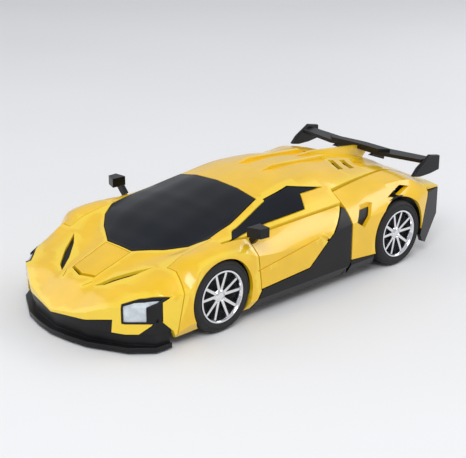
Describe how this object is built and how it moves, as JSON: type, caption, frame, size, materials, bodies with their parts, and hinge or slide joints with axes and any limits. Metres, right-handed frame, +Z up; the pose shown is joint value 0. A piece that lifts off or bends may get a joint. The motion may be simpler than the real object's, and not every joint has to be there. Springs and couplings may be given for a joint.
{
  "type": "transforming robot car",
  "caption": "Toy sports car that lifts on its rear chassis into a standing robot, with fold-out arms, a rising head and free wheels.",
  "frame": {"origin": "on the ground under the middle of the car", "axes": "-Y is the way the car drives, +X is its left side, +Z is up"},
  "size_m": [0.116, 0.224, 0.057],
  "materials": {
    "body_yellow": "high gloss",
    "black_plastic": "satin",
    "silver_plastic": "satin",
    "wheel_chrome": "polished",
    "tinted_window": "high gloss",
    "lamp_lens": "high gloss",
    "tail_red": "high gloss",
    "tyre_rubber": "matte",
    "pin_steel": "brushed"
  },
  "bodies": {
    "base": {"base_frame": "black_plastic", "trunk_pin": "pin_steel", "battery_box": "black_plastic", "battery_cover": "black_plastic", "control_board": "silver_plastic", "gearbox_left": "silver_plastic", "gearbox_right": "silver_plastic", "foot_left": "body_yellow", "foot_right": "body_yellow"},
    "switch": {"power_switch": "black_plastic"},
    "wheel_rear_left": {"tyre_rear_left": "tyre_rubber", "rim_rear_left": "wheel_chrome"},
    "wheel_rear_right": {"tyre_rear_right": "tyre_rubber", "rim_rear_right": "wheel_chrome"},
    "trunk": {"leg_lower_left": "body_yellow", "leg_lower_right": "body_yellow", "leg_upper_left": "silver_plastic", "leg_upper_right": "silver_plastic", "waist_armor": "silver_plastic", "torso_frame": "black_plastic", "transform_motor": "pin_steel", "chest_armor": "body_yellow", "chest_plate": "silver_plastic"},
    "chest": {"nose_shell": "body_yellow", "hood_vent_left": "black_plastic", "hood_vent_right": "black_plastic", "headlight_left": "lamp_lens", "headlight_right": "lamp_lens", "front_splitter": "black_plastic", "grille": "black_plastic", "chest_frame": "black_plastic", "chest_pin": "pin_steel"},
    "screen": {"windscreen": "tinted_window"},
    "head": {"head_hatch": "body_yellow", "robot_head": "black_plastic", "head_visor": "lamp_lens"},
    "arm_left": {"arm_shell_left": "body_yellow", "arm_frame_left": "black_plastic", "mirror_left": "black_plastic"},
    "arm_right": {"arm_shell_right": "body_yellow", "arm_frame_right": "black_plastic", "mirror_right": "black_plastic"},
    "wheel_front_left": {"tyre_front_left": "tyre_rubber", "rim_front_left": "wheel_chrome"},
    "wheel_front_right": {"tyre_front_right": "tyre_rubber", "rim_front_right": "wheel_chrome"},
    "shell": {"roof_shell": "body_yellow", "rear_bumper": "black_plastic", "shell_pin": "pin_steel", "wing_blade": "black_plastic", "side_window_left": "tinted_window", "side_window_right": "tinted_window", "rear_fender_left": "body_yellow", "rear_fender_right": "body_yellow", "tail_light_left": "tail_red", "tail_light_right": "tail_red", "sill_panel_left": "black_plastic", "sill_panel_right": "black_plastic", "wing_end_left": "black_plastic", "wing_end_right": "black_plastic"}
  },
  "joints": [
    {"name": "trunk_lift", "type": "hinge", "parent": "base", "child": "trunk", "pos_m": [0, 0.05, 0.012], "axis": [-1, 0, 0], "range_deg": [0, 90]},
    {"name": "chest_level", "type": "hinge", "parent": "trunk", "child": "chest", "pos_m": [0, -0.06, 0.012], "axis": [-1, 0, 0], "range_deg": [-90, 0]},
    {"name": "shell_lift", "type": "hinge", "parent": "base", "child": "shell", "pos_m": [0, 0.1, 0.014], "axis": [-1, 0, 0], "range_deg": [0, 90]},
    {"name": "screen_fold", "type": "hinge", "parent": "chest", "child": "screen", "pos_m": [0, -0.0704, 0.0316], "axis": [-1, 0, 0], "range_deg": [0, 60]},
    {"name": "head_raise", "type": "hinge", "parent": "chest", "child": "head", "pos_m": [0, -0.0721, 0.0337], "axis": [-1, 0, 0], "range_deg": [0, 100]},
    {"name": "arm_slide_left", "type": "slide", "parent": "chest", "child": "arm_left", "axis": [1, 0, 0], "range_m": [0, 0.024]},
    {"name": "front_wheel_spin_left", "type": "hinge", "parent": "arm_left", "child": "wheel_front_left", "pos_m": [0.045, -0.0515, 0.0175], "axis": [1, 0, 0], "continuous": true},
    {"name": "rear_wheel_spin_left", "type": "hinge", "parent": "base", "child": "wheel_rear_left", "pos_m": [0.045, 0.0735, 0.0175], "axis": [1, 0, 0], "continuous": true},
    {"name": "arm_slide_right", "type": "slide", "parent": "chest", "child": "arm_right", "axis": [-1, 0, 0], "range_m": [0, 0.024]},
    {"name": "front_wheel_spin_right", "type": "hinge", "parent": "arm_right", "child": "wheel_front_right", "pos_m": [-0.045, -0.0515, 0.0175], "axis": [1, 0, 0], "continuous": true},
    {"name": "rear_wheel_spin_right", "type": "hinge", "parent": "base", "child": "wheel_rear_right", "pos_m": [-0.045, 0.0735, 0.0175], "axis": [1, 0, 0], "continuous": true},
    {"name": "power_slide", "type": "slide", "parent": "base", "child": "switch", "axis": [0, 1, 0], "range_m": [0, 0.003]}
  ],
  "couplings": [
    {"joint": "chest_level", "follows": "trunk_lift", "ratio": -1},
    {"joint": "shell_lift", "follows": "trunk_lift", "ratio": 1},
    {"joint": "screen_fold", "follows": "trunk_lift", "ratio": 0.6666},
    {"joint": "head_raise", "follows": "trunk_lift", "ratio": 1.1111},
    {"joint": "arm_slide_left", "follows": "trunk_lift", "m_per_rad": 0.015278},
    {"joint": "arm_slide_right", "follows": "trunk_lift", "m_per_rad": 0.015278}
  ]
}
